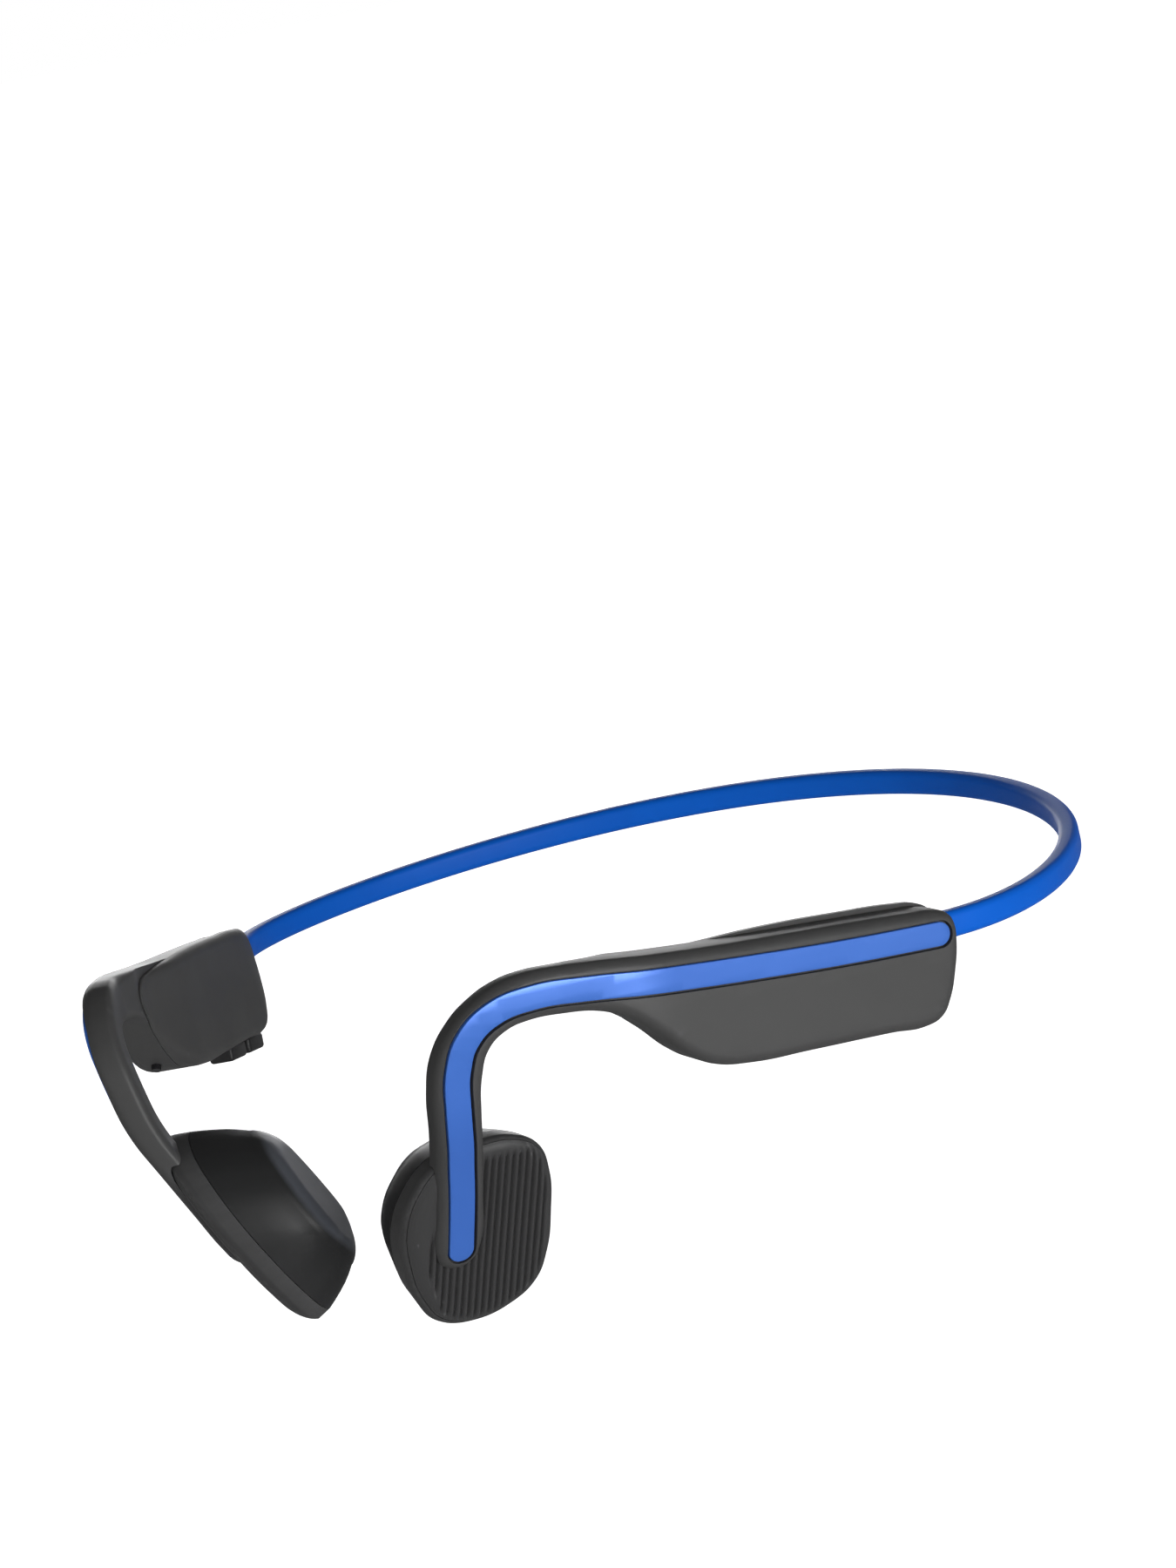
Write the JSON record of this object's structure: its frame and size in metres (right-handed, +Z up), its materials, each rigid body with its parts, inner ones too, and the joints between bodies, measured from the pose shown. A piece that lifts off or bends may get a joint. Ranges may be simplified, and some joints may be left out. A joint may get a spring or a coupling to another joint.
{
  "type": "bone conduction headphones",
  "caption": "Wrap-around headphones with a flexible neckband, over-ear arms and vibration pods that rest on the cheekbones.",
  "frame": {"origin": "midpoint between the two contact faces, where the wearer's head is", "axes": "+X to the wearer's left, -Y to the front, +Z up as worn"},
  "size_m": [0.124, 0.1262, 0.0439],
  "materials": {
    "soft_touch_charcoal": "soft-touch, fine matt grain",
    "ribbed_charcoal": "matt, ribbed",
    "pod_black": "soft-touch silicone skin",
    "satin_blue": "satin, faintly metallic",
    "blue_silicone": "matt silicone",
    "titanium": "bare spring wire",
    "cable_jacket": "enamelled copper pairs in a thin jacket",
    "steel": "satin",
    "copper": "enamelled copper winding",
    "inner_black": "plain moulding",
    "foil": "pouch foil",
    "circuit_board": "solder mask",
    "clear_plastic": "diffusing clear moulding",
    "black_rubber": "matt",
    "key_black": "matt"
  },
  "bodies": {
    "left_side": {"battery": "foil", "button_switch": "inner_black", "left_arm_shell": "soft_touch_charcoal", "left_band_sleeve": "blue_silicone", "left_bracket": "inner_black", "left_housing_cover": "soft_touch_charcoal", "left_inlay_strip": "satin_blue", "left_magnet": "steel", "left_pod_cap": "pod_black", "left_pod_cup": "soft_touch_charcoal", "left_signal_cable": "cable_jacket", "left_spring_plate": "steel", "left_spring_wire": "titanium", "left_voice_coil": "copper", "left_wire_anchor": "steel", "left_yoke": "steel", "protection_board": "circuit_board"},
    "right_side": {"antenna": "clear_plastic", "charging_port": "steel", "light_pipe": "clear_plastic", "main_board": "circuit_board", "microphone": "steel", "radio_shield": "steel", "ribbed_cap": "ribbed_charcoal", "right_arm_shell": "soft_touch_charcoal", "right_band_sleeve": "blue_silicone", "right_bracket": "inner_black", "right_housing_cover": "soft_touch_charcoal", "right_inlay_strip": "satin_blue", "right_magnet": "steel", "right_pod_cap": "pod_black", "right_pod_cup": "soft_touch_charcoal", "right_signal_cable": "cable_jacket", "right_spring_plate": "steel", "right_spring_wire": "titanium", "right_voice_coil": "copper", "right_wire_anchor": "steel", "right_yoke": "steel", "volume_down_switch": "inner_black", "volume_up_switch": "inner_black"},
    "button": {"multifunction_button": "ribbed_charcoal"},
    "volume_up": {"volume_up_key": "key_black"},
    "volume_down": {"volume_down_key": "key_black"},
    "port_flap": {"port_cover": "black_rubber"}
  },
  "joints": [
    {"name": "band_flex", "type": "hinge", "parent": "left_side", "child": "right_side", "pos_m": [0, 0.11197, 0.01441], "axis": [0, 0, -1], "range_deg": [-3, 56], "stiffness_Nm_per_rad": 0.12},
    {"name": "multifunction_press", "type": "slide", "parent": "left_side", "child": "button", "axis": [-0.9026, 0.4305, 0], "range_m": [0, 0.0003], "stiffness_N_per_m": 300},
    {"name": "volume_up_press", "type": "slide", "parent": "right_side", "child": "volume_up", "axis": [-0.0755, 0.1583, 0.9845], "range_m": [0, 0.0003], "stiffness_N_per_m": 300},
    {"name": "volume_down_press", "type": "slide", "parent": "right_side", "child": "volume_down", "axis": [-0.0755, 0.1583, 0.9845], "range_m": [0, 0.0003], "stiffness_N_per_m": 300},
    {"name": "port_cover_hinge", "type": "hinge", "parent": "right_side", "child": "port_flap", "pos_m": [-0.04438, 0.0163, 0.00904], "axis": [-0.9026, -0.4305, 0], "range_deg": [0, 95]}
  ]
}
